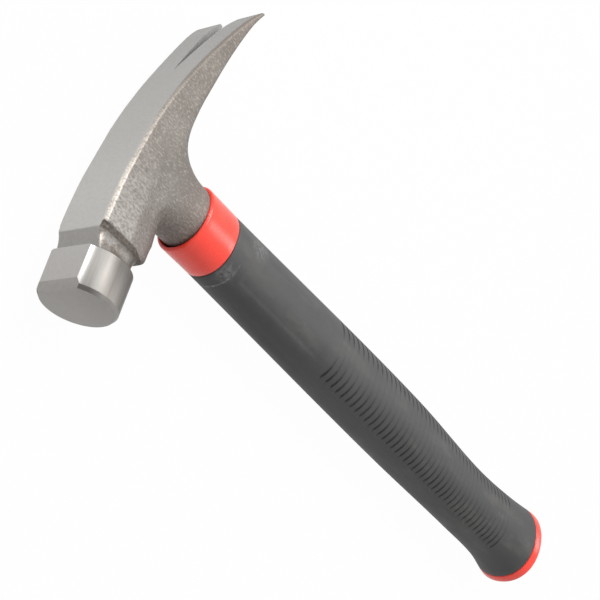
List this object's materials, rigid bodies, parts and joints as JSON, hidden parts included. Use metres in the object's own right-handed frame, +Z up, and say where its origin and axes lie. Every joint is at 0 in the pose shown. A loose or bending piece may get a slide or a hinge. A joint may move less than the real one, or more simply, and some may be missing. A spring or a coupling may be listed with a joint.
{
  "type": "claw hammer",
  "caption": "Straight-claw hammer: forged steel head with a turned poll on an oval tubular shaft, with a grooved rubber grip over a hard core, a collar and a butt cap.",
  "frame": {"origin": "under the middle of the hammer's bounding box, on the surface that it lies on", "axes": "+X along the handle towards the head, +Y the way the hammer strikes, +Z up through the cheeks as the hammer lies on its far cheek"},
  "size_m": [0.3398, 0.1472, 0.0363],
  "materials": {
    "forged_steel": "shot-blasted forging with a ground satin top, poll and face",
    "plug_steel": "plain machined",
    "tube_steel": "drawn oval tube",
    "damping_rubber": "matt",
    "hard_plastic": "moulded, matt",
    "grip_rubber": "matt, fine-grained, with cross grooves",
    "red_plastic": "semi-gloss moulding"
  },
  "bodies": {
    "root": {"hammer_head": "forged_steel", "socket_pad": "damping_rubber", "socket_sleeve": "damping_rubber", "expander_plug": "plug_steel", "cross_pin": "plug_steel", "shaft_tube": "tube_steel", "shaft_end_plug": "hard_plastic", "neck_collar": "red_plastic", "grip_core": "hard_plastic", "grip_sleeve": "grip_rubber", "butt_cap": "red_plastic"}
  },
  "joints": []
}
